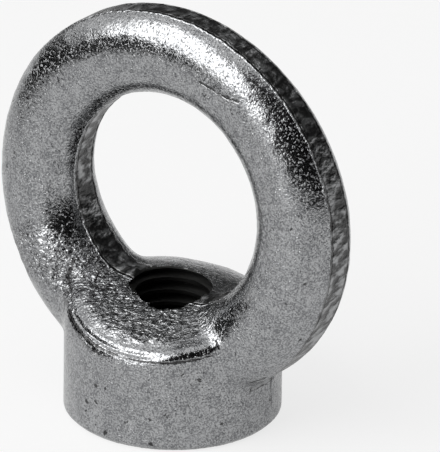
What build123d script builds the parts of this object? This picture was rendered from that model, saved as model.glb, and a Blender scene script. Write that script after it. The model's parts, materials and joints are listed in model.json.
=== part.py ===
from build123d import *

# Lifting eye nut for an M10 thread: one drop forging, a closed ring standing on a round boss.
#
# Frame: +Z up. The seat of the boss lies on Z = 0 and the thread runs along Z through the origin.
# The ring stands in the XZ plane, which is the parting plane of the forging dies, so +Y goes
# through the eye. All sizes are in millimetres.
#
# Each half is drawn as its die forms it: half of the ring and half of the boss, with the radii
# that a die leaves. The two halves meet in the parting plane, and the whole forging is trimmed
# along its rim and round the inside of the eye, where the flash is sheared off. The bore of the
# thread comes last, as it does on the real nut.

import math
import os

# Thread, tapped right through the boss, and the width of the countersink at each of its mouths. The
# top one only reaches the crown of the mouth, because the top slopes away in front
thread_d = 10.0
thread_pitch = 1.5
top_countersink = 0.5
seat_countersink = 1.1

# Boss, whose top is a flat slope in front and a low dome behind, as its two dies form it. They meet
# in a ridge under the ring, at whose crown the thread comes out, and both lean down to the right
boss_d = 24.5
ridge_height = 15.4
front_fall = 3.5  # from the ridge to the front of the boss
back_fall = 3.2  # from the crown of the dome to its rim
top_lean = 5.0  # in degrees
boss_rim_radius = 1.4
seat_chamfer = 0.6

# Ring, whose eye sits a little above the ring's own centre, so that the limbs thicken downwards
ring_d = 45.0
eye_d = 25.0
eye_rise = 0.5
ridge_in_eye = 2.1  # how far the ridge of the boss stands up into the eye's circle
crown_depth = 7.9  # size of the ring along Y at its top
root_depth = 12.9  # the same at its lowest point, inside the boss
swell_power = 1.3  # how late the growth from one to the other comes
root_blend_radius = 3.0  # where the limbs run into the boss

# Flash trim: how far it cuts into the forging on the rim, in the eye and on the boss's sides
rim_trim = 0.36
eye_trim = 0.30
boss_trim = 0.10

# Sections of the ring, from inside the boss up one limb, over the top and down the other
first_section_angle = -80.0
section_count = 18

boss_radius = boss_d / 2
ring_radius = ring_d / 2
eye_centre_z = ridge_height - ridge_in_eye + eye_d / 2
ring_centre_z = eye_centre_z - eye_rise

# Minor diameter of an internal ISO metric thread
minor_diameter_drop = 1.0825
bore_radius = (thread_d - minor_diameter_drop * thread_pitch) / 2

# How far the cutting tools reach past the forging, and how closely edges are told apart
overrun = 5.0
tolerance = 0.01


def ring_section(angle):
    """Front half of the ring's section at an angle about the ring's centre; 90 is the top."""
    turn = math.radians(angle)
    eye_radius = eye_d / 2 - eye_trim
    outer = ring_radius + rim_trim
    inner = eye_rise * math.sin(turn) + math.sqrt(eye_radius**2 - (eye_rise * math.cos(turn)) ** 2)
    lowness = (1 - math.sin(turn)) / 2
    half_width = (outer - inner) / 2
    half_depth = (crown_depth + (root_depth - crown_depth) * lowness**swell_power) / 2
    outward = Vector(math.cos(turn), 0, math.sin(turn))
    along = Vector(-math.sin(turn), 0, math.cos(turn))
    centre = Vector(0, 0, ring_centre_z) + outward * ((outer + inner) / 2)
    front = Pos(0, -half_depth) * Rectangle(4 * half_width, 2 * half_depth)
    return Plane(origin=centre, x_dir=outward, z_dir=along) * (Ellipse(half_width, half_depth) & front)


def half_ring():
    """Front half of the ring. Its two ends are buried in the boss, either side of the thread."""
    step = (180 - 2 * first_section_angle) / (section_count - 1)
    return loft([ring_section(first_section_angle + step * index) for index in range(section_count)])


def flat_slope():
    """All that lies under the flat slope of the boss's front, with its ridge at the origin."""
    reach = ridge_height + boss_d
    corners = [(0, 0), (-reach, -reach * front_fall / boss_radius), (-reach, -reach), (0, -reach)]
    return extrude(Plane.YZ * make_face(Polyline(corners, close=True)), reach, both=True)


def low_dome():
    """The ball whose cap is the dome of the boss's back, with its crown at the origin."""
    radius = (back_fall**2 + boss_radius**2) / (2 * back_fall)
    return Pos(0, 0, -radius) * Sphere(radius)


def half_boss(under_top):
    """Front half of the boss: round, and cut off by a leaning top with a soft edge."""
    height = ridge_height + boss_radius
    column = Cylinder(boss_radius, height, align=(Align.CENTER, Align.CENTER, Align.MIN))
    front = Box(boss_d, boss_radius, height, align=(Align.CENTER, Align.MAX, Align.MIN))
    boss = column & front & (Pos(0, 0, ridge_height) * Rot(0, top_lean, 0) * under_top)
    seat_edge = boss.edges().filter_by(is_on_boss_side).sort_by(Axis.Z)[0]
    boss = chamfer(seat_edge, seat_chamfer)
    top_edge = boss.edges().filter_by(is_on_boss_side).sort_by(Axis.Z)[-1]
    return fillet(top_edge, boss_rim_radius)


def is_on_boss_side(edge):
    """Whether an edge runs round the outer face of the boss."""
    points = [edge @ 0.2, edge @ 0.5, edge @ 0.8]
    return all(abs(math.hypot(point.X, point.Y) - boss_radius) < tolerance for point in points)


def half_forging(under_top):
    """Front half as its die forms it, with the limbs blended into the boss."""
    ring = half_ring()
    boss = half_boss(under_top)
    joined = ring + boss
    creases = new_edges(ring, boss, combined=joined).filter_by(is_off_parting_plane)
    return fillet(creases, root_blend_radius)


def is_off_parting_plane(edge):
    """Whether an edge runs through the front half, and not along the plane where the halves meet."""
    return (edge @ 0.5).Y < -tolerance


def trimming_die():
    """What the trimming die leaves standing: the ring's disc and the boss's sides below it."""
    disc = Pos(0, ring_centre_z) * Circle(ring_radius)
    width = 2 * (boss_radius - boss_trim)
    sides = Rectangle(width, ring_centre_z, align=(Align.CENTER, Align.MIN))
    return extrude(Plane.XZ * (disc + sides), boss_radius + overrun, both=True)


def eye_punch():
    """The punch that shears the flash out of the eye, and stops just short of the boss's ridge."""
    eye = Pos(0, eye_centre_z) * Circle(eye_d / 2)
    above_boss = Pos(0, ridge_height + eye_trim) * Rectangle(eye_d, eye_d, align=(Align.CENTER, Align.MIN))
    return extrude(Plane.XZ * (eye & above_boss), boss_radius, both=True)


def drill():
    """Tool for the thread's bore, with the 45 degree countersinks of both its mouths."""
    upwards = (Align.CENTER, Align.CENTER, Align.MIN)
    bore = Cylinder(bore_radius, ridge_height, align=upwards)
    seat = Cone(bore_radius + seat_countersink, bore_radius, seat_countersink, align=upwards)
    top = Cone(bore_radius, bore_radius + overrun, overrun, align=upwards)
    return bore + seat + Pos(0, 0, ridge_height - top_countersink) * top


def eye_nut():
    """The whole nut: forged in two halves, trimmed all round, then drilled for its thread."""
    front = half_forging(flat_slope())
    back = mirror(half_forging(low_dome()), Plane.XZ)
    trimmed = ((front + back) & trimming_die()) - eye_punch()
    return trimmed - drill()


nut = eye_nut()
os.makedirs("parts", exist_ok=True)
export_step(nut, "parts/eye_nut.step")
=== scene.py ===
"""Looks of the lifting eye nut: its forged skin, sheared flash lands, tapped thread and studio.

The part is one drop forging, so there is one piece, nut_body. It is a copy of the CAD solid, laid
with a fine even skin, and then worked the way the real nut is: the dies leave an uneven surface and
folds at the roots, the trimming die leaves rough lands, and the drill and the tap cut the bore.
The nut's sizes are in millimetres, which MM turns to metres, and the studio's are in metres.
"""

import json
import logging
import math
from collections.abc import Callable
from dataclasses import dataclass
from enum import Enum

import bmesh
import bpy
from mathutils import Matrix, Vector
from mathutils.kdtree import KDTree

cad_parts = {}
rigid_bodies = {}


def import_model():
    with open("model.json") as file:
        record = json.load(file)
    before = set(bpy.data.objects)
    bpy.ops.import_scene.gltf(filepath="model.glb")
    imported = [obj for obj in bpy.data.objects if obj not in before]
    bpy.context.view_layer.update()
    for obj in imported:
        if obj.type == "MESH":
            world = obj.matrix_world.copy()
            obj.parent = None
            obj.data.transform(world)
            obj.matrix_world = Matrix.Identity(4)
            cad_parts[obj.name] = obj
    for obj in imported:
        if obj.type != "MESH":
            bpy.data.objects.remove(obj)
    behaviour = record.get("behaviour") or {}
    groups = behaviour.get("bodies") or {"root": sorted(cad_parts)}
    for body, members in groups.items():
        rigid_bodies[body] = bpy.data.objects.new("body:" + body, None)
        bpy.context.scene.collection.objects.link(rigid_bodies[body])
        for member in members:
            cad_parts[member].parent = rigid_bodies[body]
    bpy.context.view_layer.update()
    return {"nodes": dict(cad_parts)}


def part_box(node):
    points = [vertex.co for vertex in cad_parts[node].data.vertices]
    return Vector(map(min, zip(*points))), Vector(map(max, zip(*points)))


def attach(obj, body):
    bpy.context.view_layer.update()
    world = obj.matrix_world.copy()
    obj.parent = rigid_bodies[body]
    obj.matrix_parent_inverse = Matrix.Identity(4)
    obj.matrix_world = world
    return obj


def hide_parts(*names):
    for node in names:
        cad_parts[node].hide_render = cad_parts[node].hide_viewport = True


MM = 0.001
LOG = logging.getLogger("eye_nut")

Tree = bpy.types.NodeTree
Socket = bpy.types.NodeSocket
Object = bpy.types.Object
Inputs = dict[str | int, object]
Parts = list[tuple[Socket, object]]
Band = tuple[float, float]
Place = tuple[float, float, float]


class Slot(Enum):
    """Order of the finishes on the nut's body."""

    FORGED = 0
    TAPPED = 1


# ---------------- patterns and materials


def linear(colour: str) -> tuple[float, float, float, float]:
    """Turn an sRGB hex colour to linear RGBA.

    Args:
        colour: Hex colour such as "#8a8a8a".

    Returns:
        Red, green, blue and an alpha of 1.
    """
    parts = [int(colour[place : place + 2], 16) / 255 for place in (1, 3, 5)]
    turned = [p / 12.92 if p <= 0.04045 else ((p + 0.055) / 1.055) ** 2.4 for p in parts]
    return (turned[0], turned[1], turned[2], 1.0)


def sized(place: Socket, size_mm: float, **others: float) -> Inputs:
    """Inputs of a pattern on Object coordinates whose features are size_mm apart."""
    return {"Vector": place, "Scale": 1.0 / (size_mm * MM), **others}


def connect(node: bpy.types.Node, inputs: Inputs) -> None:
    """Set inputs of a shader node.

    Args:
        node: Node to set.
        inputs: Input names or places, and for each a value or an output to link.
    """
    for name, value in inputs.items():
        if isinstance(value, Socket):
            node.id_data.links.new(value, node.inputs[name])
        else:
            node.inputs[name].default_value = value


def add_node(
    tree: Tree, kind: str, inputs: Inputs, output: str | int = 0, **settings: object
) -> Socket:
    """Add a shader node, with its settings, its input values and its links.

    Args:
        tree: Node tree that gets the node.
        kind: Blender's name for the kind of node, without the ShaderNode in front.
        inputs: Input names or places, and for each a value or an output to link.
        output: Name or place of the output that is wanted.
        settings: Attributes of the node and their values.

    Returns:
        That output.
    """
    node = tree.nodes.new("ShaderNode" + kind)
    for name, value in settings.items():
        setattr(node, name, value)
    connect(node, inputs)
    return node.outputs[output]


def sum_up(tree: Tree, parts: Parts) -> Socket:
    """Add patterns up, each times its share.

    Args:
        tree: Node tree of the material.
        parts: The patterns and their shares, which may be patterns too.

    Returns:
        The sum.
    """
    total: object = 0.0
    for pattern, share in parts:
        total = add_node(tree, "Math", {0: pattern, 1: share, 2: total}, operation="MULTIPLY_ADD")
    return total


def highest(tree: Tree, parts: Parts) -> Socket:
    """Take the highest of several patterns at each place, each times its share.

    Args:
        tree: Node tree of the material.
        parts: The patterns and their shares.

    Returns:
        The highest.
    """
    top = sum_up(tree, parts[:1])
    for part in parts[1:]:
        top = add_node(tree, "Math", {0: top, 1: sum_up(tree, [part])}, operation="MAXIMUM")
    return top


def mask(tree: Tree, parts: Parts, band: Band) -> Socket:
    """Add patterns up and stretch a band of the sum softly, to run from 0 to 1.

    Args:
        tree: Node tree of the material.
        parts: The patterns and their shares.
        band: The sum that becomes 0, and the sum that becomes 1.

    Returns:
        The mask, which stays 0 or 1 past the band.
    """
    inputs = {"Value": sum_up(tree, parts), "From Min": band[0], "From Max": band[1]}
    return add_node(tree, "MapRange", inputs, interpolation_type="SMOOTHSTEP")


def soft_line(tree: Tree, pattern: Socket, middle: float, width: float) -> Socket:
    """Draw a soft line where a pattern has a given value.

    Args:
        tree: Node tree of the material.
        pattern: The pattern.
        middle: Its value along the line.
        width: How far from that value the line has faded out.

    Returns:
        The line, 1 along its middle and 0 away from it.
    """
    off = add_node(tree, "Math", {0: pattern, 1: middle}, operation="SUBTRACT")
    off = add_node(tree, "Math", {0: off}, operation="ABSOLUTE")
    return mask(tree, [(off, 1.0)], (width, 0.0))


def new_material(name: str) -> tuple[bpy.types.Material, Tree, bpy.types.Node]:
    """Make a material with a bare Principled shader.

    Args:
        name: Name of the material.

    Returns:
        The material, its node tree and the shader node.
    """
    material = bpy.data.materials.new(name)
    material.use_nodes = True
    tree = material.node_tree
    return material, tree, tree.nodes["Principled BSDF"]


# ---------------- modelling by hand


def only(piece: Object) -> None:
    """Deselect everything, then select one piece and make it active.

    Args:
        piece: The piece.
    """
    bpy.ops.object.select_all(action="DESELECT")
    piece.select_set(True)
    bpy.context.view_layer.objects.active = piece


def edit_all(piece: Object) -> None:
    """Go into edit mode with the whole of one piece selected.

    Args:
        piece: The piece.
    """
    only(piece)
    bpy.ops.object.mode_set(mode="EDIT")
    bpy.ops.mesh.select_all(action="SELECT")


def add_object(operator: Callable[..., object], name: str, **settings: object) -> Object:
    """Add an object with one of Blender's operators, and leave only it selected.

    Args:
        operator: The operator.
        name: Name of the object.
        settings: Settings of the operator.

    Returns:
        The object.
    """
    bpy.ops.object.select_all(action="DESELECT")
    operator(**settings)
    added = bpy.context.object
    added.name = name
    return added


def start_line(name: str, start: Place) -> Object:
    """Add a mesh of a single point, for a line to be extruded from.

    Args:
        name: Name of the object.
        start: Place of the point, in metres.

    Returns:
        The object, in edit mode with its point selected.
    """
    line = add_object(bpy.ops.mesh.primitive_plane_add, name, size=MM, location=start)
    bpy.ops.object.transform_apply(location=True, rotation=True, scale=True)
    edit_all(line)
    bpy.ops.mesh.merge(type="CENTER")
    return line


def apply_modifier(piece: Object, kind: str, **settings: object) -> None:
    """Add a modifier to a piece and apply it at once.

    Args:
        piece: Piece to change.
        kind: Blender's name for the kind of modifier.
        settings: Attribute names and values of the modifier.
    """
    only(piece)
    modifier = piece.modifiers.new(kind.lower(), kind)
    for name, value in settings.items():
        setattr(modifier, name, value)
    bpy.ops.object.modifier_apply(modifier=modifier.name)


def weigh(piece: Object, name: str, weight: Callable[[Vector], float]) -> None:
    """Give a piece a vertex group whose weights follow from the place of each vertex.

    Args:
        piece: Piece that gets the group.
        name: Name of the vertex group.
        weight: Takes a place in millimetres and gives a weight from 0 to 1.
    """
    group = piece.vertex_groups.new(name=name)
    for vertex in piece.data.vertices:
        share = min(1.0, max(0.0, weight(vertex.co / MM)))
        if share > 0:
            group.add([vertex.index], share, "REPLACE")


def smooth(low: float, high: float, value: float) -> float:
    """Rise smoothly from 0 at low to 1 at high."""
    share = min(1.0, max(0.0, (value - low) / (high - low)))
    return share * share * (3 - 2 * share)


# ---------------- sizes


@dataclass(frozen=True)
class NutSizes:
    """Main sizes in millimetres, the same as the solid's.

    The ring stands in the XZ plane and the thread runs along Z, as in the frame. A surface that is
    land_slack off a trim's cylinder still counts as its land, and what stands out of the ring by
    more than past_ring belongs to the boss.
    """

    ring_radius: float = 22.5
    ring_centre_z: float = 25.3
    eye_radius: float = 12.5
    eye_centre_z: float = 25.8
    boss_radius: float = 12.25
    ridge_z: float = 15.4
    front_fall: float = 3.5
    top_lean: float = 5.0
    rim_drop: float = 1.0
    thread_radius: float = 5.0
    bore_radius: float = 4.19
    pitch: float = 1.5
    seat_countersink: float = 1.1
    top_countersink: float = 0.5
    crown_depth: float = 7.9
    root_depth: float = 12.9
    swell_power: float = 1.3
    rim_trim: float = 0.36
    eye_trim: float = 0.30
    land_slack: float = 0.25
    past_ring: float = 0.5

    def from_thread(self, place: Vector) -> float:
        """Distance of a place from the thread's axis."""
        return math.hypot(place.x, place.y)

    def round_boss(self, place: Vector) -> float:
        """Direction of a place round the thread, in degrees from +X; the front is at -90."""
        return math.degrees(math.atan2(place.y, place.x))

    def land_half_width(self, place: Vector, trim: float) -> float:
        """Half the width of the land that a trim leaves on the ring's section at a place.

        Args:
            place: Place in millimetres.
            trim: How deep the trim cuts into the section.

        Returns:
            Half of the land's width along Y, in millimetres.
        """
        turn = math.atan2(place.z - self.ring_centre_z, place.x)
        lowness = (1 - math.sin(turn)) / 2
        swell = (self.root_depth - self.crown_depth) * lowness**self.swell_power
        half_depth = (self.crown_depth + swell) / 2
        rise = (self.eye_centre_z - self.ring_centre_z) * math.sin(turn)
        outer, inner = self.ring_radius + self.rim_trim, self.eye_radius - self.eye_trim
        half_width = (outer - inner - rise) / 2
        return half_depth * math.sqrt(1 - ((half_width - trim) / half_width) ** 2)

    def land_depth(self, place: Vector) -> float:
        """How far a place on the surface lies inside a flash land; below 0 it lies outside.

        Args:
            place: Place in millimetres.

        Returns:
            Distance from the land's edge along Y, in millimetres.
        """
        from_rim = self.ring_radius - math.hypot(place.x, place.z - self.ring_centre_z)
        into_eye = math.hypot(place.x, place.z - self.eye_centre_z) - self.eye_radius
        if from_rim < -self.past_ring:
            return -1.0
        on_rim = from_rim < into_eye
        trim, off = (self.rim_trim, from_rim) if on_rim else (self.eye_trim, into_eye)
        width = self.land_half_width(place, trim)
        return width - abs(place.y) - 2 * max(0.0, off - self.land_slack)

    def on_top(self, turn: float, radius: float, drop: float = 0.0) -> Vector:
        """Place on the boss's top, which is flat in front of its ridge, or a little below it.

        Args:
            turn: Direction round the thread, in degrees.
            radius: Distance from the thread's axis.
            drop: How far below the top the place is.

        Returns:
            The place in millimetres.
        """
        x, y = radius * math.cos(math.radians(turn)), radius * math.sin(math.radians(turn))
        lean = x * math.tan(math.radians(self.top_lean))
        fall = lean + max(0.0, -y) / self.boss_radius * self.front_fall
        return Vector((x, y, self.ridge_z - fall - drop))

    def on_mouth(self, turn: float) -> Vector:
        """Place on the edge of the bore's upper mouth, in millimetres."""
        return self.on_top(turn, self.bore_radius + self.top_countersink)

    def on_front_rim(self, turn: float) -> Vector:
        """Place where the soft edge of the boss's front runs into its side, in millimetres."""
        return self.on_top(turn, self.boss_radius, self.rim_drop)


@dataclass(frozen=True)
class Zone:
    """A part of the nut with soft edges, given along the axes and outwards from the thread.

    An edge is two values in millimetres: the zone has faded out at the first, and is whole at the
    second and beyond.
    """

    x: tuple[Band, ...] = ()
    y: tuple[Band, ...] = ()
    z: tuple[Band, ...] = ()
    radius: tuple[Band, ...] = ()

    def share(self, place: Vector) -> float:
        """How far a place is in the zone.

        Args:
            place: Place in millimetres.

        Returns:
            The share, from 0 outside the zone to 1 well inside it.
        """
        share = 1.0
        values = (place.x, place.y, place.z, math.hypot(place.x, place.y))
        for value, edges in zip(values, (self.x, self.y, self.z, self.radius)):
            for out, whole in edges:
                share *= smooth(out, whole, value)
        return share


# ---------------- finishes


@dataclass(frozen=True)
class ForgedSkin:
    """Drop-forged steel, tumbled and then zinc plated.

    Scale and tumbling leave it peened all over in grains a few tenths of a millimetre across, which
    break every reflection into sparkles. Here as in the classes below, heights and depths are in
    millimetres, and a band is the part of a pattern's values that is stretched to 0 and 1.
    """

    zinc: str = "#aeafb0"
    dull_zinc: str = "#78797b"
    roughness: float = 0.17
    peen_mm: float = 0.36
    peen_height: float = 0.036
    pimple_mm: float = 0.27
    pimple_band: Band = (0.56, 0.72)
    pimple_height: float = 0.04
    grain_mm: float = 0.16
    grain_detail: float = 1.0
    grain_height: float = 0.014
    speckle_mm: float = 0.2
    speckle_detail: float = 3.0
    mottle_mm: float = 1.4
    mottle_detail: float = 4.0
    mottle_share: float = 0.3
    tone_band: Band = (0.49, 0.79)


@dataclass(frozen=True)
class ScalePits:
    """Ragged pits where scale was hammered in: at most one in each cell of a loose pattern.

    The reach is the radius of the largest pit in cells, and each cell draws a number that decides
    the size of its own.
    """

    spacing_mm: float = 1.4
    reach: float = 0.2
    draw_band: Band = (0.5, 1.0)
    edge_band: Band = (-0.015, 0.03)
    ragged_mm: float = 0.4
    shift_mm: float = 0.7
    depth: float = 0.07

    def scatter(self, tree: Tree, place: Socket) -> Socket:
        """Scatter the pits.

        Args:
            tree: Node tree of the material.
            place: Object coordinates.

        Returns:
            Their mask, 1 in a pit and 0 round it.
        """
        ragged = add_node(tree, "TexNoise", sized(place, self.ragged_mm), "Color")
        inputs = {0: ragged, "Scale": self.shift_mm * MM}
        shift = add_node(tree, "VectorMath", inputs, operation="SCALE")
        torn = add_node(tree, "VectorMath", {0: place, 1: shift}, operation="ADD")
        cells = add_node(tree, "TexVoronoi", sized(torn, self.spacing_mm)).node.outputs
        draw = add_node(tree, "SeparateColor", {0: cells["Color"]})
        size = mask(tree, [(draw, 1.0)], self.draw_band)
        return mask(tree, [(size, self.reach), (cells["Distance"], -1.0)], self.edge_band)


@dataclass(frozen=True)
class ShearedLand:
    """Steel sheared by the trimming die: torn in scallops, with a lip and a groove along its edge.

    The tears run through the ring along Y, so their pattern is drawn out that way. The groove's
    distance from the edge is in widths of the lip.
    """

    zinc: str = "#a4a5a6"
    torn: str = "#4b4b4b"
    tone_band: Band = (0.43, 0.63)
    roughness: float = 0.3
    tear_mm: float = 0.9
    tear_scale: Place = (1.0, 0.55, 1.0)
    tear_detail: float = 6.0
    tear_height: float = 0.42
    lip_mm: float = 0.18
    lip_height: float = 0.11
    groove_distance: float = 1.6
    groove_height: float = 0.13
    ragged_mm: float = 0.8
    ragged_detail: float = 3.0
    ragged_share: float = 0.5
    edge_band: Band = (-0.03, 0.05)

    def tear(self, tree: Tree, place: Socket) -> Socket:
        """Draw the tears on Object coordinates. Their height is about 0.5 on average."""
        drawn = add_node(tree, "Mapping", {"Vector": place, "Scale": self.tear_scale})
        return add_node(tree, "TexNoise", sized(drawn, self.tear_mm, Detail=self.tear_detail))


@dataclass(frozen=True)
class FoldedMetal:
    """Steel wrinkled where it was squeezed between the dies.

    Short folds run round the boss's top, on average in the direction given by turn, in degrees. A
    lap is a fold that was pressed shut: its band is in widths of the lap from its line.
    """

    length_mm: float = 0.85
    width_mm: float = 0.5
    turn: float = 45.0
    warp: float = 0.6
    height: float = 0.7
    valley_band: Band = (0.47, 0.34)
    lap_band: Band = (1.0, 0.35)
    lap_ragged_share: float = 1.6
    lap_depth: float = 0.05

    def wrinkle(self, tree: Tree, place: Socket) -> Socket:
        """Draw the short folds.

        Args:
            tree: Node tree of the material.
            place: Object coordinates.

        Returns:
            Their height, about 0.5 on average.
        """
        rotation = (0.0, 0.0, -math.radians(self.turn))
        turned = add_node(tree, "Mapping", {"Vector": place, "Rotation": rotation})
        stretch = (self.width_mm / self.length_mm, 1.0, 1.0)
        drawn = add_node(tree, "Mapping", {"Vector": turned, "Scale": stretch})
        return add_node(tree, "TexNoise", sized(drawn, self.width_mm, Distortion=self.warp))


@dataclass(frozen=True)
class ShadeAndSpecks:
    """Painted shade: a dark colour laid in the low spots, where shade falls, with how densely it
    covers each kind of them.

    Dark specks of the same colour lie on the open skin too, more of them in some patches than in
    others.
    """

    # Dark colour of the painted shade in the low spots and of the specks.
    colour: str = "#1f1e1d"
    in_pits: float = 0.8
    in_specks: float = 0.7
    in_grooves: float = 0.8
    in_valleys: float = 0.8
    in_laps: float = 0.85
    speck_mm: float = 0.3
    speck_band: Band = (0.52, 0.43)
    patch_mm: float = 4.0
    patch_share: float = 0.35

    def speck(self, tree: Tree, place: Socket) -> Socket:
        """Strew the specks.

        Args:
            tree: Node tree of the material.
            place: Object coordinates.

        Returns:
            Their mask.
        """
        specks = add_node(tree, "TexNoise", sized(place, self.speck_mm))
        patches = add_node(tree, "TexNoise", sized(place, self.patch_mm))
        return mask(tree, [(specks, 1.0), (patches, self.patch_share)], self.speck_band)


@dataclass(frozen=True)
class ForgedZincFinish:
    """Zinc-plated forging: the peened skin, the sheared lands, the folds and the laps, with painted
    shade in its low spots.

    Three attributes of the piece say where they are: land is the depth inside a land in
    millimetres, lap the distance from the nearest lap in widths of it, and fold the share of
    folding.
    """

    name: str = "zinc_plated_forged_steel"
    skin: ForgedSkin = ForgedSkin()
    pits: ScalePits = ScalePits()
    sheared: ShearedLand = ShearedLand()
    folded: FoldedMetal = FoldedMetal()
    shade_and_specks: ShadeAndSpecks = ShadeAndSpecks()

    def skin_relief(self, tree: Tree, place: Socket, grain: Socket) -> Parts:
        """Peen the skin.

        Args:
            tree: Node tree of the material.
            place: Object coordinates.
            grain: The finest grain of the steel.

        Returns:
            The patterns of its relief, and their heights.
        """
        skin = self.skin
        peens = add_node(tree, "TexNoise", sized(place, skin.peen_mm))
        bumps = add_node(tree, "TexNoise", sized(place, skin.pimple_mm))
        pimples = mask(tree, [(bumps, 1.0)], skin.pimple_band)
        heights = (skin.peen_height, skin.pimple_height, skin.grain_height)
        return list(zip((peens, pimples, grain), heights))

    def skin_tone(self, tree: Tree, place: Socket) -> Socket:
        """Colour the skin, in speckles that are brighter in some places than in others.

        Args:
            tree: Node tree of the material.
            place: Object coordinates.

        Returns:
            The colour.
        """
        skin = self.skin
        inputs = sized(place, skin.speckle_mm, Detail=skin.speckle_detail)
        speckle = add_node(tree, "TexNoise", inputs)
        inputs = sized(place, skin.mottle_mm, Detail=skin.mottle_detail)
        mottle = add_node(tree, "TexNoise", inputs)
        share = mask(tree, [(speckle, 1.0), (mottle, skin.mottle_share)], skin.tone_band)
        inputs = {0: share, 6: linear(skin.dull_zinc), 7: linear(skin.zinc)}
        return add_node(tree, "Mix", inputs, 2, data_type="RGBA")

    def build(self) -> bpy.types.Material:
        """Make the material. A Mix node has its colours at places 6 and 7, and gives them at 2.

        Returns:
            The material of the whole forging, but for the cut thread.
        """
        material, tree, shader = new_material(self.name)
        skin, sheared, folded, shade_and_specks = self.skin, self.sheared, self.folded, self.shade_and_specks
        place = add_node(tree, "TexCoord", {}, "Object")
        depth, away, fold = (
            add_node(tree, "Attribute", {}, "Fac", attribute_name=name)
            for name in ("land", "lap", "fold")
        )
        # Noise about 0, which makes the edges of the lands and the laps ragged.
        inputs = sized(place, sheared.ragged_mm, Detail=sheared.ragged_detail)
        ragged = add_node(tree, "TexNoise", inputs)
        ragged = add_node(tree, "Math", {0: ragged, 1: 0.5}, operation="SUBTRACT")
        depth = sum_up(tree, [(depth, 1.0), (ragged, sheared.ragged_share)])
        land = mask(tree, [(depth, 1.0)], sheared.edge_band)
        lip = soft_line(tree, depth, 0.0, sheared.lip_mm)
        groove = soft_line(tree, depth, sheared.groove_distance * sheared.lip_mm, sheared.lip_mm)
        lap = mask(tree, [(away, 1.0), (ragged, folded.lap_ragged_share)], folded.lap_band)
        pits = self.pits.scatter(tree, place)
        wrinkles = folded.wrinkle(tree, place)
        valleys = mask(tree, [(wrinkles, 1.0)], folded.valley_band)
        tears = sheared.tear(tree, place)
        grain = add_node(tree, "TexNoise", sized(place, skin.grain_mm, Detail=skin.grain_detail))

        plain = sum_up(
            tree,
            [
                *self.skin_relief(tree, place, grain),
                (pits, -self.pits.depth),
                (sum_up(tree, [(wrinkles, fold)]), folded.height),
                (lap, -folded.lap_depth),
            ],
        )
        torn = sum_up(tree, [(tears, sheared.tear_height), (grain, skin.grain_height)])
        height = add_node(tree, "Mix", {0: land, 2: plain, 3: torn}, data_type="FLOAT")
        edges = [(lip, sheared.lip_height), (groove, -sheared.groove_height)]
        height = sum_up(tree, [(height, 1.0), *edges])

        # Painted shade: the pits, the grooves, the fold valleys and the laps, and also the dark
        # specks on the open skin.
        low = highest(
            tree,
            [
                (pits, shade_and_specks.in_pits),
                (shade_and_specks.speck(tree, place), shade_and_specks.in_specks),
                (groove, shade_and_specks.in_grooves),
                (sum_up(tree, [(valleys, fold)]), shade_and_specks.in_valleys),
                (lap, shade_and_specks.in_laps),
            ],
        )
        bright = mask(tree, [(tears, 1.0)], sheared.tone_band)
        inputs = {0: bright, 6: linear(sheared.torn), 7: linear(sheared.zinc)}
        land_tone = add_node(tree, "Mix", inputs, 2, data_type="RGBA")
        inputs = {0: land, 6: self.skin_tone(tree, place), 7: land_tone}
        tone = add_node(tree, "Mix", inputs, 2, data_type="RGBA")
        # Darken the colour where the painted shade and the specks lie.
        inputs = {0: low, 6: tone, 7: linear(shade_and_specks.colour)}
        colour = add_node(tree, "Mix", inputs, 2, data_type="RGBA")
        inputs = {0: land, 2: skin.roughness, 3: sheared.roughness}
        rough = add_node(tree, "Mix", inputs, data_type="FLOAT")
        bump = add_node(tree, "Bump", {"Height": height, "Distance": MM, "Strength": 1.0})
        inputs = {"Base Color": colour, "Roughness": rough, "Normal": bump, "Metallic": 1.0}
        connect(shader, inputs)
        return material


@dataclass(frozen=True)
class TappedFinish:
    """Steel cut by a drill and a tap: dull, with oil and dust left in it, and coloured near black
    to paint the shade deep in the bore.
    """

    name: str = "oily_cut_thread_painted_shade"
    # Near black: oily steel, and painted shade inside the bore.
    steel: str = "#3b3b3a"
    roughness: float = 0.45
    grain_mm: float = 0.3
    grain_height: float = 0.03

    def build(self) -> bpy.types.Material:
        """Make the material.

        Returns:
            The material of the thread, its countersinks and the seat.
        """
        material, tree, shader = new_material(self.name)
        place = add_node(tree, "TexCoord", {}, "Object")
        grain = add_node(tree, "TexNoise", sized(place, self.grain_mm))
        height = sum_up(tree, [(grain, self.grain_height)])
        bump = add_node(tree, "Bump", {"Height": height, "Distance": MM, "Strength": 1.0})
        inputs = {"Base Color": linear(self.steel), "Roughness": self.roughness}
        connect(shader, {**inputs, "Normal": bump, "Metallic": 1.0})
        return material


@dataclass(frozen=True)
class PaleTableFinish:
    """Matt white table top, which shows the nut's soft shadow and is otherwise plain.

    The camera sees it as plain white, apart from the share that really is lit, shadow_share, which
    shows the shadow. The metal mirrors a larger share of the lit table, mirrored_share.
    """

    name: str = "matt_white_table"
    white: str = "#ffffff"
    roughness: float = 0.9
    shadow_share: float = 0.22
    mirrored_share: float = 0.5

    def build(self) -> bpy.types.Material:
        """Make the material.

        Returns:
            The material of the table.
        """
        material, tree, shader = new_material(self.name)
        connect(shader, {"Base Color": linear(self.white), "Roughness": self.roughness})
        rays = add_node(tree, "LightPath", {}).node.outputs
        seen, mirrored = 1.0 - self.shadow_share, 1.0 - self.mirrored_share
        shares = [
            (rays["Is Camera Ray"], seen),
            (rays["Is Transmission Ray"], seen),
            (rays["Is Glossy Ray"], mirrored),
        ]
        plain = add_node(tree, "Emission", {"Color": linear(self.white), "Strength": 1.0})
        inputs = {0: highest(tree, shares), 1: shader.outputs[0], 2: plain}
        mixed = add_node(tree, "MixShader", inputs)
        connect(tree.nodes["Material Output"], {"Surface": mixed})
        return material


# ---------------- the tapped thread


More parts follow.
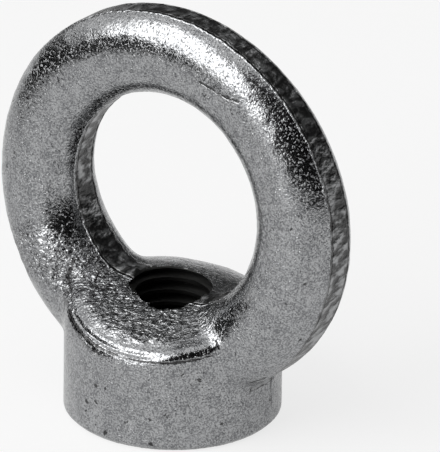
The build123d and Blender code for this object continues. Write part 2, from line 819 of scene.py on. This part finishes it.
@dataclass
class TappedThread:
    """Cutting tools of the bore: an M10 x 1.5 tap, and the two countersinks.

    The tap is longer than the bore at both ends, and a countersink is wider than the solid's by
    the clearance, so that no two surfaces fall together.
    """

    sizes: NutSizes
    steps: int = 72
    sides: int = 96
    flank_angle: float = 30.0
    start_turn: float = 130.0
    reach_low: float = -1.0
    reach_high: float = 18.5
    clearance: float = 0.03

    def tap(self) -> Object:
        """Model the tap: one turn's profile, drawn up in a helix, with flat ends.

        Returns:
            A closed mesh of the thread's full form.
        """
        sizes = self.sizes
        depth = sizes.thread_radius - sizes.bore_radius
        flank = depth * math.tan(math.radians(self.flank_angle))
        # The helix starts two turns below the cut, and ends at least two turns above it.
        start_z = self.reach_low - 2 * sizes.pitch
        turns = int((self.reach_high - start_z) / sizes.pitch) + 3
        tap = start_line("tap", (sizes.bore_radius * MM, 0, start_z * MM))
        crest = sizes.pitch / 4
        root = sizes.pitch - crest - 2 * flank
        for step in ((0, 0, crest), (depth, 0, flank), (0, 0, root), (-depth, 0, flank)):
            move = {"value": [size * MM for size in step]}
            bpy.ops.mesh.extrude_vertices_move(TRANSFORM_OT_translate=move)
        bpy.ops.object.mode_set(mode="OBJECT")
        apply_modifier(
            tap,
            "SCREW",
            angle=math.tau,
            screw_offset=sizes.pitch * MM,
            iterations=turns,
            steps=self.steps,
            render_steps=self.steps,
            use_merge_vertices=False,
        )
        edit_all(tap)
        bpy.ops.mesh.remove_doubles(threshold=0.002 * MM)
        turn = math.radians(self.start_turn)
        bpy.ops.transform.rotate(value=turn, orient_axis="Z", center_override=(0, 0, 0))
        for height, side in ((self.reach_low, -1), (self.reach_high, 1)):
            bpy.ops.mesh.select_all(action="SELECT")
            bpy.ops.mesh.bisect(
                plane_co=(0, 0, height * MM),
                plane_no=(0, 0, side),
                use_fill=True,
                clear_outer=True,
                threshold=0.001 * MM,
            )
        bpy.ops.mesh.select_all(action="SELECT")
        bpy.ops.mesh.quads_convert_to_tris()
        bpy.ops.mesh.normals_make_consistent(inside=False)
        bpy.ops.object.mode_set(mode="OBJECT")
        return tap

    def countersink(self, name: str, mouth: Band, reach: Band, side: int) -> Object:
        """Model a 45 degree countersinking tool.

        Args:
            name: Name of the tool.
            mouth: A height, and the tool's radius there.
            reach: How far it reaches below and above that height.
            side: 1 if it widens upwards, and -1 if it widens downwards.

        Returns:
            The closed tool.
        """
        (height, radius), (below, above) = mouth, reach
        tool = add_object(
            bpy.ops.mesh.primitive_cone_add,
            name,
            vertices=self.sides,
            radius1=(radius - side * below) * MM,
            radius2=(radius + side * above) * MM,
            depth=(below + above) * MM,
            location=(0, 0, (height + (above - below) / 2) * MM),
        )
        bpy.ops.object.transform_apply(location=True, rotation=True, scale=True)
        return tool

    def cut(self, body: Object) -> None:
        """Cut the bore's thread and both countersinks into the body.

        Args:
            body: Closed mesh of the nut.
        """
        sizes = self.sizes
        seat = (0.0, sizes.bore_radius + sizes.seat_countersink + self.clearance)
        top = (sizes.ridge_z - sizes.top_countersink + self.clearance, sizes.bore_radius)
        tools = [
            self.tap(),
            self.countersink("seat_tool", seat, (1.0, 2.0), -1),
            self.countersink("top_tool", top, (2.0, 4.0), 1),
        ]
        for tool in tools:
            apply_modifier(body, "BOOLEAN", operation="DIFFERENCE", solver="MANIFOLD", object=tool)
            LOG.info("cut with %s: %d faces", tool.name, len(body.data.polygons))
            bpy.data.objects.remove(tool)


# ---------------- the forged body


@dataclass(frozen=True)
class Lap:
    """A lap in the forging: a thin fold line through a few places on its surface.

    The finish darkens it with painted shade, as in a crease.
    """

    points: tuple[Place, ...]
    width: float = 0.15

    def walk(self, step: float = 0.1) -> list[Vector]:
        """Go along the lap.

        Args:
            step: Distance between the places, in millimetres.

        Returns:
            Places along it, in millimetres.
        """
        places = []
        for first, last in zip(self.points, self.points[1:]):
            start, end = Vector(first), Vector(last)
            count = max(2, int((end - start).length / step))
            places += [start.lerp(end, index / count) for index in range(count + 1)]
        return places


@dataclass(frozen=True)
class Arc:
    """A stretch round the thread, in degrees, where a lap of some width runs."""

    start: int
    end: int
    step: int
    width: float

    def lap(self, on_line: Callable[[float], Vector]) -> Lap:
        """The lap along this stretch of a line, which gives a place for each direction."""
        turns = range(self.start, self.end + 1, self.step)
        return Lap(tuple(tuple(on_line(turn)) for turn in turns), self.width)


@dataclass(frozen=True)
class Relief:
    """One layer of the forging's uneven surface.

    Its grain is the size of its features along each axis in millimetres, turned about Z by turn, in
    degrees. Where the pattern has its middle value, the surface stays as it is.
    """

    name: str
    depth: float
    group: str
    grain: Place
    turn: float = 0.0
    middle: float = 0.6


@dataclass
class ForgedBody:
    """The nut's one piece, from the CAD solid to the finished forging.

    Sizes are in millimetres, and an edge is where something has faded out and where it is whole.
    """

    sizes: NutSizes
    node: Object
    skin_mm: float = 0.2
    face_limit: int = 185000
    crease_angle: float = 42.0
    # The surface stays even at the seat, and on the lands it is less uneven by the share land_calm.
    seat_edge: Band = (0.3, 1.5)
    land_edge: Band = (-0.1, 0.15)
    land_calm: float = 0.6
    # The front rim of the boss's top is worn down within rim_reach of its corner.
    rim_wear: float = 0.9
    rim_reach: float = 3.0
    rim_zone: Zone = Zone(x=((7.5, 3.5),), y=((-3.0, -7.0),))
    # The metal is folded on the boss's top in front, less so in its right corner, and on the left
    # root.
    top_zone: Zone = Zone(
        y=((-0.5, -3.5),), z=((10.8, 11.6), (17.0, 15.0)), radius=((11.05, 9.25),)
    )
    calm_corner: Zone = Zone(x=((4.0, 6.0),), y=((-9.0, -7.5),))
    corner_calm: float = 0.6
    left_root: Zone = Zone(x=((-6.0, -8.5),), y=((1.0, -2.0),), z=((21.0, 16.0), (12.0, 14.0)))
    left_share: float = 0.8
    # A face counts as cut, and not forged, up to bore_margin outside the thread and bore_top above
    # the ridge, where it faces inwards enough, and up to seat_margin above the seat.
    bore_margin: float = 1.2
    bore_top: float = 1.0
    inward_limit: float = 0.3
    seat_margin: float = 0.02
    # Away from every lap, the lap attribute stays at this many widths.
    lap_limit: float = 2.0
    # The laps round the boss's front rim and round the bore's mouth are wide, so that their painted
    # shade draws a dark band under the rim and widens the dark of the mouth.
    rim_arcs: tuple[Arc, ...] = (Arc(-134, -102, 4, 0.42), Arc(-102, -30, 4, 0.2))
    mouth_arcs: tuple[Arc, ...] = (Arc(-150, -24, 6, 0.34), Arc(-180, 180, 6, 0.12))
    laps: tuple[Lap, ...] = (
        Lap(((6.0, -4.0, 42.3), (8.2, -4.0, 41.7), (9.9, -4.0, 41.3), (11.2, -3.8, 41.2)), 0.24),
        Lap(((-9.5, -1.0, 17.7), (-8.4, -1.8, 16.5), (-6.9, -1.9, 15.7), (-4.7, -2.5, 15.1))),
        Lap(((-7.9, -3.2, 15.5), (-7.7, -4.2, 14.9), (-6.4, -5.3, 14.4))),
        Lap(
            (
                (14.1, -3.9, 24.9),
                (12.9, -3.6, 21.5),
                (10.5, -2.4, 18.6),
                (7.5, -0.6, 15.4),
                (5.0, -1.0, 14.8),
            )
        ),
        Lap(((12.1, 1.9, 7.4), (12.1, 2.0, 2.6))),
        Lap(((10.9, -6.3, 12.2), (10.2, -6.1, 13.1))),
        Lap(((13.1, -3.5, 7.8), (14.6, -2.8, 8.6)), 0.2),
        Lap(((-10.6, -4.4, 16.6), (-10.9, -5.3, 14.9), (-10.2, -6.6, 14.2)), 0.35),
    )
    reliefs: tuple[Relief, ...] = (
        Relief("waviness", 0.14, "skin", (6.0, 6.0, 6.0)),
        Relief("dents", 0.08, "skin", (1.6, 1.6, 1.6)),
        Relief("folds", 0.3, "roots", (2.0, 1.1, 1.1), 30.0),
        Relief("tears", 0.10, "lands", (1.4, 3.0, 1.4)),
    )

    def copy_solid(self) -> Object:
        """Copy the CAD node and merge its loose triangles into one closed mesh.

        Returns:
            The copy, at the origin.
        """
        body = self.node.copy()
        body.data = self.node.data.copy()
        body.parent = None
        for key in list(body.keys()):
            del body[key]
        body.name = "nut_body"
        body.data.name = "nut_body"
        body.data.materials.clear()
        bpy.context.scene.collection.objects.link(body)
        edit_all(body)
        bpy.ops.mesh.remove_doubles(threshold=0.001 * MM)
        bpy.ops.mesh.select_all(action="DESELECT")
        bpy.ops.mesh.select_non_manifold()
        loose = body.data.total_vert_sel
        bpy.ops.object.mode_set(mode="OBJECT")
        bpy.ops.mesh.customdata_custom_splitnormals_clear()
        LOG.info("copied the solid: %d faces, %d open vertices", len(body.data.polygons), loose)
        return body

    def lay_skin(self, body: Object) -> None:
        """Give the body an even fine skin, and ease the steps that this leaves.

        Args:
            body: The merged copy.
        """
        voxel = self.skin_mm * MM
        apply_modifier(body, "REMESH", mode="VOXEL", voxel_size=voxel, use_smooth_shade=True)
        apply_modifier(body, "SMOOTH", factor=0.5, iterations=1)
        LOG.info("laid the skin: %d faces", len(body.data.polygons))

    def all_laps(self) -> list[Lap]:
        """Gather the laps that are listed, and those round the boss's rim and the mouth."""
        rims = [arc.lap(self.sizes.on_front_rim) for arc in self.rim_arcs]
        return [*self.laps, *rims, *(arc.lap(self.sizes.on_mouth) for arc in self.mouth_arcs)]

    def measure(self, body: Object) -> None:
        """Keep in attributes where the lands, the laps and the folds are, for the finish.

        Args:
            body: The skinned body, before its surface is made uneven.
        """
        trail = [
            (body.closest_point_on_mesh(place * MM)[1] / MM, lap.width)
            for lap in self.all_laps()
            for place in lap.walk()
        ]
        tree = KDTree(len(trail))
        for index, (place, _) in enumerate(trail):
            tree.insert(place, index)
        tree.balance()
        places = [vertex.co / MM for vertex in body.data.vertices]
        laps = []
        for place in places:
            _, index, away = tree.find(place)
            laps.append(min(self.lap_limit, away / trail[index][1]))
        values = {
            "land": [max(-1.0, self.sizes.land_depth(place)) for place in places],
            "lap": laps,
            "fold": [self.root_weight(place) for place in places],
        }
        for name, numbers in values.items():
            attribute = body.data.attributes.new(name, "FLOAT", "POINT")
            attribute.data.foreach_set("value", numbers)

    def skin_weight(self, place: Vector) -> float:
        """How uneven the skin is at a place: not at all at the seat, and less on the lands."""
        return smooth(*self.seat_edge, place.z) * (1 - self.land_calm * self.land_weight(place))

    def land_weight(self, place: Vector) -> float:
        """1 in a flash land and 0 outside it."""
        return smooth(*self.land_edge, self.sizes.land_depth(place))

    def root_weight(self, place: Vector) -> float:
        """How strongly the metal is folded at a place: most on the boss's top in front."""
        top = self.top_zone.share(place) * (1 - self.corner_calm * self.calm_corner.share(place))
        return max(top, self.left_share * self.left_root.share(place))

    def rim_weight(self, place: Vector) -> float:
        """How much the front rim of the boss's top is worn down at a place.

        Args:
            place: Place in millimetres.

        Returns:
            The share of the full wear.
        """
        sizes = self.sizes
        corner = sizes.on_front_rim(sizes.round_boss(place)).z + sizes.rim_drop
        away = math.hypot(sizes.boss_radius - sizes.from_thread(place), corner - place.z)
        return max(0.0, 1 - away / self.rim_reach) ** 2 * self.rim_zone.share(place)

    def roughen(self, body: Object, relief: Relief) -> None:
        """Lay one layer of relief on the surface.

        Args:
            body: The skinned body.
            relief: The layer.
        """
        rotation = (0.0, 0.0, math.radians(relief.turn))
        grain = add_object(bpy.ops.object.empty_add, relief.name, rotation=rotation)
        grain.scale = [size * MM for size in relief.grain]
        bpy.context.view_layer.update()
        texture = bpy.data.textures.new(relief.name, "CLOUDS")
        texture.noise_scale = 1.0
        apply_modifier(
            body,
            "DISPLACE",
            texture=texture,
            texture_coords="OBJECT",
            texture_coords_object=grain,
            direction="NORMAL",
            mid_level=relief.middle,
            strength=relief.depth * MM,
            vertex_group=relief.group,
        )
        bpy.data.textures.remove(texture)
        bpy.data.objects.remove(grain)

    def forge(self, body: Object) -> None:
        """Leave the traces of forging: the worn rim, waviness, dents, folds and tears.

        Args:
            body: The skinned body.
        """
        weights = {
            "rim": self.rim_weight,
            "skin": self.skin_weight,
            "roots": self.root_weight,
            "lands": self.land_weight,
        }
        for group, weight in weights.items():
            weigh(body, group, weight)
        settings = {"direction": "NORMAL", "mid_level": 0.0, "vertex_group": "rim"}
        apply_modifier(body, "DISPLACE", strength=-self.rim_wear * MM, **settings)
        for relief in self.reliefs:
            self.roughen(body, relief)
        body.vertex_groups.clear()

    def keep_in_box(self, body: Object, low: Vector, high: Vector) -> None:
        """Trim what stands proud of the solid's box, as the trimming die and the face mill do.

        Args:
            body: The forged body.
            low: Lowest corner of the box, in metres.
            high: Highest corner of the box, in metres.
        """
        for axis in range(3):
            for corner, side in ((low, -1), (high, 1)):
                only(body)
                bpy.ops.object.mode_set(mode="EDIT")
                mesh = bmesh.from_edit_mesh(body.data)
                for vertex in mesh.verts:
                    vertex.select = (vertex.co[axis] - corner[axis]) * side > 0
                mesh.select_flush_mode()
                bmesh.update_edit_mesh(body.data)
                scale = [1.0, 1.0, 1.0]
                scale[axis] = 0.0
                if any(vertex.select for vertex in mesh.verts):
                    bpy.ops.transform.resize(value=scale, center_override=tuple(corner))
                bpy.ops.object.mode_set(mode="OBJECT")

    def thin_out(self, body: Object) -> None:
        """Merge the flattest faces until the piece is light enough to keep.

        Args:
            body: The forged body.
        """
        count = sum(len(face.vertices) - 2 for face in body.data.polygons)
        if count > self.face_limit:
            apply_modifier(body, "DECIMATE", ratio=self.face_limit / count)
        LOG.info("thinned out: %d of %d triangles", len(body.data.polygons), count)

    def is_cut(self, face: bpy.types.MeshPolygon) -> bool:
        """Whether a face was cut, and not forged.

        Args:
            face: A face of the finished mesh.

        Returns:
            True on the thread, its countersinks and the seat.
        """
        place, out = face.center / MM, face.normal
        radius = self.sizes.from_thread(place)
        inward = -(out.x * place.x + out.y * place.y) > self.inward_limit * radius
        near = radius < self.sizes.thread_radius + self.bore_margin
        low = place.z < self.sizes.ridge_z + self.bore_top
        return (near and low and inward) or place.z < self.seat_margin

    def dress(self, body: Object) -> None:
        """Give each face its finish by its place on the nut.

        Args:
            body: The finished mesh.
        """
        finishes = {Slot.FORGED: ForgedZincFinish(), Slot.TAPPED: TappedFinish()}
        body.data.materials.clear()
        for slot in Slot:
            body.data.materials.append(finishes[slot].build())
        for face in body.data.polygons:
            face.material_index = (Slot.TAPPED if self.is_cut(face) else Slot.FORGED).value

    def build(self) -> Object:
        """Build the whole piece.

        Returns:
            The finished body, riding on the frame in place of the CAD node.
        """
        low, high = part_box(self.node.name)
        body = self.copy_solid()
        self.lay_skin(body)
        self.measure(body)
        self.forge(body)
        self.keep_in_box(body, low, high)
        self.thin_out(body)
        TappedThread(self.sizes).cut(body)
        only(body)
        bpy.ops.object.shade_smooth_by_angle(angle=math.radians(self.crease_angle))
        self.dress(body)
        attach(body, "root")
        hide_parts(self.node.name)
        return body


# ---------------- the studio


def look_from(azimuth: float, elevation: float) -> Vector:
    """Direction from the nut to something round it.

    Args:
        azimuth: Its direction on the table, in degrees from +X towards +Y.
        elevation: Its height above the table, in degrees.

    Returns:
        The direction, one long.
    """
    turn, rise = math.radians(azimuth), math.radians(elevation)
    x, y = math.cos(turn) * math.cos(rise), math.sin(turn) * math.cos(rise)
    return Vector((x, y, math.sin(rise)))


@dataclass(frozen=True)
class Lamp:
    """A square soft lamp: where it hangs, seen from the nut, its size and how bright it is."""

    name: str
    azimuth: float
    elevation: float
    distance: float
    width: float
    height: float
    brightness: float

    def hang(self) -> Object:
        """Hang the lamp, facing the nut.

        Returns:
            The lamp.
        """
        away = look_from(self.azimuth, self.elevation)
        lamp = add_object(
            bpy.ops.object.light_add,
            self.name,
            type="AREA",
            location=away * self.distance,
            rotation=away.to_track_quat("Z", "Y").to_euler(),
        )
        lamp.data.shape = "RECTANGLE"
        lamp.data.size = self.width
        lamp.data.size_y = self.height
        # A lamp's power is its radiance times pi times its area, and a radiance of 1 is white.
        lamp.data.energy = self.brightness * math.pi * self.width * self.height
        return lamp


@dataclass(frozen=True)
class Wall:
    """A matt wall that curves round the nut, out of the camera's sight, for the metal to mirror."""

    name: str
    from_turn: float
    to_turn: float
    height: float
    grey: str
    radius: float = 1.4
    steps: int = 24

    def stand(self) -> Object:
        """Stand the wall on the table.

        Returns:
            The wall.
        """
        turn = math.radians(self.from_turn)
        start = (self.radius * math.cos(turn), self.radius * math.sin(turn), 0.0)
        wall = start_line(self.name, start)
        move = {"value": (0, 0, self.height)}
        bpy.ops.mesh.extrude_vertices_move(TRANSFORM_OT_translate=move)
        bpy.ops.mesh.select_all(action="SELECT")
        # The spin turns clockwise seen against its axis, so the axis points down.
        angle = math.radians(self.to_turn - self.from_turn)
        bpy.ops.mesh.spin(steps=self.steps, angle=angle, center=(0, 0, 0), axis=(0, 0, -1))
        bpy.ops.object.mode_set(mode="OBJECT")
        material, _, shader = new_material(self.name + "_paint")
        connect(shader, {"Base Color": linear(self.grey), "Roughness": 1.0})
        wall.data.materials.append(material)
        wall.visible_camera = False
        return wall


@dataclass
class Studio:
    """A pale table under soft lamps, with grey walls that only the metal mirrors.

    The room's light is how bright the world is, where 1 is white. The eye and the metal see the
    backdrop instead.
    """

    table_size: float = 8.0
    room_light: float = 0.75
    backdrop: str = "#ffffff"
    lamps: tuple[Lamp, ...] = (Lamp("key_softbox", -116.0, 34.0, 0.9, 0.92, 0.7, 3.2),)
    walls: tuple[Wall, ...] = (
        Wall("dark_wall_near", -86.0, 62.0, 2.4, "#181818"),
        Wall("grey_wall_back", 62.0, 165.0, 1.8, "#747474"),
        Wall("dark_wall_left", 165.0, 223.0, 0.3, "#141414"),
        Wall("dark_card_left", 176.0, 247.0, 0.096, "#141414", 0.25),
    )

    def lay_table(self) -> Object:
        """Lay the table that the nut stands on.

        Returns:
            The table.
        """
        table = add_object(bpy.ops.mesh.primitive_plane_add, "table", size=self.table_size)
        table.data.materials.append(PaleTableFinish().build())
        return table

    def light_room(self) -> None:
        """Fill the room with even light, and show white behind the nut to the eye and the metal."""
        world = bpy.data.worlds.new("room")
        world.use_nodes = True
        bpy.context.scene.world = world
        tree = world.node_tree
        rays = add_node(tree, "LightPath", {}).node.outputs
        kinds = ("Is Camera Ray", "Is Glossy Ray", "Is Transmission Ray")
        seen = highest(tree, [(rays[kind], 1.0) for kind in kinds])
        inputs = {0: seen, 6: (*[self.room_light] * 3, 1.0), 7: linear(self.backdrop)}
        colour = add_node(tree, "Mix", inputs, 2, data_type="RGBA")
        connect(tree.nodes["Background"], {"Color": colour, "Strength": 1.0})

    def build(self) -> None:
        """Lay the table, hang the lamps and light the room."""
        self.lay_table()
        for wall in self.walls:
            wall.stand()
        for lamp in self.lamps:
            lamp.hang()
        self.light_room()


@dataclass(frozen=True)
class Viewpoint:
    """Where the nut is looked at from.

    The azimuth is in degrees from the front towards +X, and the distance and the aim are in
    millimetres, as is the lens.
    """

    azimuth: float = 35.41
    elevation: float = 23.85
    roll: float = 0.73
    distance: float = 922.9
    aim: Place = (4.81, 2.0, 22.64)
    lens: float = 662.4

    def set_up(self) -> Object:
        """Set up the camera.

        Returns:
            The scene's camera.
        """
        away = look_from(self.azimuth - 90.0, self.elevation)
        upright = away.to_track_quat("Z", "Y").to_matrix()
        rotation = (upright @ Matrix.Rotation(math.radians(self.roll), 3, "Z")).to_euler()
        place = (Vector(self.aim) + away * self.distance) * MM
        camera = add_object(
            bpy.ops.object.camera_add, "viewpoint", location=place, rotation=rotation
        )
        camera.data.sensor_width = 36.0
        camera.data.lens = self.lens
        camera.data.clip_start = 0.01
        camera.data.clip_end = 50.0
        bpy.context.scene.camera = camera
        return camera


def main() -> None:
    """Build the nut, then the studio round it."""
    logging.basicConfig(level=logging.INFO, format="%(message)s")
    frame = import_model()
    bpy.context.scene.view_settings.view_transform = "Standard"
    body = ForgedBody(NutSizes(), frame["nodes"]["eye_nut"]).build()
    LOG.info("nut_body: %d faces", len(body.data.polygons))
    Studio().build()
    Viewpoint().set_up()


if __name__ == "__main__":
    main()
